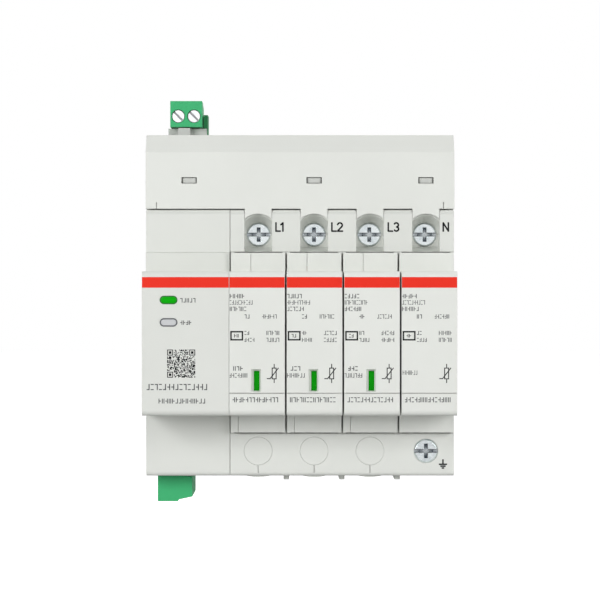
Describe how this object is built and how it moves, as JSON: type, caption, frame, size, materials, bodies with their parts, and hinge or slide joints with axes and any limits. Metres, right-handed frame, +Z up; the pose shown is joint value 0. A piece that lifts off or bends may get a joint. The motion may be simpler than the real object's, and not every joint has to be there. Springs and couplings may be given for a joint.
{
  "type": "din rail surge arrester",
  "caption": "Rail-mounted surge arrester with pull-out cartridges and status flags, cage-clamp terminals, a current-sensor box on top and a communication module with plug-in connectors.",
  "frame": {"origin": "middle of the rail seat face, at the centre line of the mounting rail", "axes": "+X to the right seen from the front, +Y from the front towards the wall, +Z up"},
  "size_m": [0.0984, 0.0702, 0.1292],
  "materials": {
    "light_housing": "satin moulded",
    "grey_housing": "satin moulded",
    "clip_plastic": "satin moulded",
    "board": "coated laminate",
    "dark_plastic": "satin moulded",
    "green_lens": "polished",
    "pale_lens": "polished",
    "green_plastic": "satin moulded",
    "plated_steel": "zinc plated",
    "copper_alloy": "bright",
    "varistor_coat": "dipped coating",
    "tube_ceramic": "fired",
    "flag_plastic": "satin moulded"
  },
  "bodies": {
    "base": {"base_housing": "light_housing", "rail_plate": "grey_housing", "sensor_cover": "light_housing", "sensor_tray": "grey_housing", "sensor_board": "board", "sensor_rings": "dark_plastic", "module_housing": "light_housing", "module_front": "light_housing", "circuit_board": "board", "board_parts": "dark_plastic", "power_lens": "green_lens", "com_lens": "pale_lens", "supply_header": "green_plastic", "data_header": "green_plastic", "header_pins": "plated_steel", "blanking_caps": "light_housing", "phase_contact_l1": "copper_alloy", "phase_contact_l2": "copper_alloy", "phase_contact_l3": "copper_alloy", "neutral_bus": "copper_alloy", "earth_contact": "copper_alloy"},
    "cartridge_l1": {"cartridge_case_l1": "light_housing", "cartridge_lid_l1": "light_housing", "varistor_l1": "varistor_coat", "blades_l1": "copper_alloy", "trip_spring_l1": "plated_steel"},
    "flag_l1": {"flag_l1": "flag_plastic"},
    "cartridge_l2": {"cartridge_case_l2": "light_housing", "cartridge_lid_l2": "light_housing", "varistor_l2": "varistor_coat", "blades_l2": "copper_alloy", "trip_spring_l2": "plated_steel"},
    "flag_l2": {"flag_l2": "flag_plastic"},
    "cartridge_l3": {"cartridge_case_l3": "light_housing", "cartridge_lid_l3": "light_housing", "varistor_l3": "varistor_coat", "blades_l3": "copper_alloy", "trip_spring_l3": "plated_steel"},
    "flag_l3": {"flag_l3": "flag_plastic"},
    "cartridge_n": {"cartridge_case_n": "light_housing", "gas_tube": "tube_ceramic", "blades_n": "copper_alloy"},
    "screw_l1": {"terminal_screw_l1": "plated_steel"},
    "cage_l1": {"terminal_cage_l1": "plated_steel"},
    "screw_l2": {"terminal_screw_l2": "plated_steel"},
    "cage_l2": {"terminal_cage_l2": "plated_steel"},
    "screw_l3": {"terminal_screw_l3": "plated_steel"},
    "cage_l3": {"terminal_cage_l3": "plated_steel"},
    "screw_n": {"terminal_screw_n": "plated_steel"},
    "cage_n": {"terminal_cage_n": "plated_steel"},
    "screw_pe": {"terminal_screw_pe": "plated_steel"},
    "cage_pe": {"terminal_cage_pe": "plated_steel"},
    "supply_plug": {"supply_plug": "green_plastic", "supply_clamps": "plated_steel"},
    "supply_screw_1": {"supply_screw_1": "plated_steel"},
    "supply_screw_2": {"supply_screw_2": "plated_steel"},
    "data_plug": {"data_plug": "green_plastic", "data_clamps": "plated_steel"},
    "clip_left": {"rail_clip_left": "clip_plastic"},
    "clip_right": {"rail_clip_right": "clip_plastic"}
  },
  "joints": [
    {"name": "cartridge_l1_pull", "type": "slide", "parent": "base", "child": "cartridge_l1", "axis": [0, -1, 0], "range_m": [0, 0.045]},
    {"name": "cartridge_l2_pull", "type": "slide", "parent": "base", "child": "cartridge_l2", "axis": [0, -1, 0], "range_m": [0, 0.045]},
    {"name": "cartridge_l3_pull", "type": "slide", "parent": "base", "child": "cartridge_l3", "axis": [0, -1, 0], "range_m": [0, 0.045]},
    {"name": "cartridge_n_pull", "type": "slide", "parent": "base", "child": "cartridge_n", "axis": [0, -1, 0], "range_m": [0, 0.045]},
    {"name": "flag_l1_lift", "type": "slide", "parent": "cartridge_l1", "child": "flag_l1", "axis": [0, 0, 1], "range_m": [0, 0.0062], "deforming": ["trip_spring_l1"]},
    {"name": "flag_l2_lift", "type": "slide", "parent": "cartridge_l2", "child": "flag_l2", "axis": [0, 0, 1], "range_m": [0, 0.0062], "deforming": ["trip_spring_l2"]},
    {"name": "flag_l3_lift", "type": "slide", "parent": "cartridge_l3", "child": "flag_l3", "axis": [0, 0, 1], "range_m": [0, 0.0062], "deforming": ["trip_spring_l3"]},
    {"name": "screw_l1_turn", "type": "hinge", "parent": "base", "child": "screw_l1", "pos_m": [-0.0133, -0.0318, 0.03455], "axis": [0, 1, 0], "range_deg": [0, 2025]},
    {"name": "cage_l1_clamp", "type": "slide", "parent": "base", "child": "cage_l1", "axis": [0, -1, 0], "range_m": [0, 0.0045]},
    {"name": "screw_l2_turn", "type": "hinge", "parent": "base", "child": "screw_l2", "pos_m": [0.0045, -0.0318, 0.03455], "axis": [0, 1, 0], "range_deg": [0, 2025]},
    {"name": "cage_l2_clamp", "type": "slide", "parent": "base", "child": "cage_l2", "axis": [0, -1, 0], "range_m": [0, 0.0045]},
    {"name": "screw_l3_turn", "type": "hinge", "parent": "base", "child": "screw_l3", "pos_m": [0.0223, -0.0318, 0.03455], "axis": [0, 1, 0], "range_deg": [0, 2025]},
    {"name": "cage_l3_clamp", "type": "slide", "parent": "base", "child": "cage_l3", "axis": [0, -1, 0], "range_m": [0, 0.0045]},
    {"name": "screw_n_turn", "type": "hinge", "parent": "base", "child": "screw_n", "pos_m": [0.0401, -0.0318, 0.03455], "axis": [0, 1, 0], "range_deg": [0, 2025]},
    {"name": "cage_n_clamp", "type": "slide", "parent": "base", "child": "cage_n", "axis": [0, -1, 0], "range_m": [0, 0.0045]},
    {"name": "screw_pe_turn", "type": "hinge", "parent": "base", "child": "screw_pe", "pos_m": [0.0401, -0.0402, -0.03455], "axis": [0, 1, 0], "range_deg": [0, 2025]},
    {"name": "cage_pe_clamp", "type": "slide", "parent": "base", "child": "cage_pe", "axis": [0, -1, 0], "range_m": [0, 0.0045]},
    {"name": "supply_plug_pull", "type": "slide", "parent": "base", "child": "supply_plug", "axis": [0, 0, 1], "range_m": [0, 0.014]},
    {"name": "supply_screw_1_turn", "type": "hinge", "parent": "supply_plug", "child": "supply_screw_1", "pos_m": [-0.03941, -0.03, 0.073], "axis": [0, 1, 0], "range_deg": [0, 1440]},
    {"name": "supply_screw_2_turn", "type": "hinge", "parent": "supply_plug", "child": "supply_screw_2", "pos_m": [-0.03433, -0.03, 0.073], "axis": [0, 1, 0], "range_deg": [0, 1440]},
    {"name": "data_plug_pull", "type": "slide", "parent": "base", "child": "data_plug", "axis": [0, 0, -1], "range_m": [0, 0.014]},
    {"name": "clip_left_slide", "type": "slide", "parent": "base", "child": "clip_left", "axis": [0, 0, -1], "range_m": [0, 0.0032], "stiffness_N_per_m": 2500},
    {"name": "clip_right_slide", "type": "slide", "parent": "base", "child": "clip_right", "axis": [0, 0, -1], "range_m": [0, 0.0032], "stiffness_N_per_m": 2500}
  ],
  "couplings": [
    {"joint": "screw_l1_turn", "follows": "cage_l1_clamp", "rad_per_m": 7853.9},
    {"joint": "screw_l2_turn", "follows": "cage_l2_clamp", "rad_per_m": 7853.9},
    {"joint": "screw_l3_turn", "follows": "cage_l3_clamp", "rad_per_m": 7853.9},
    {"joint": "screw_n_turn", "follows": "cage_n_clamp", "rad_per_m": 7853.9},
    {"joint": "screw_pe_turn", "follows": "cage_pe_clamp", "rad_per_m": 7853.9}
  ]
}
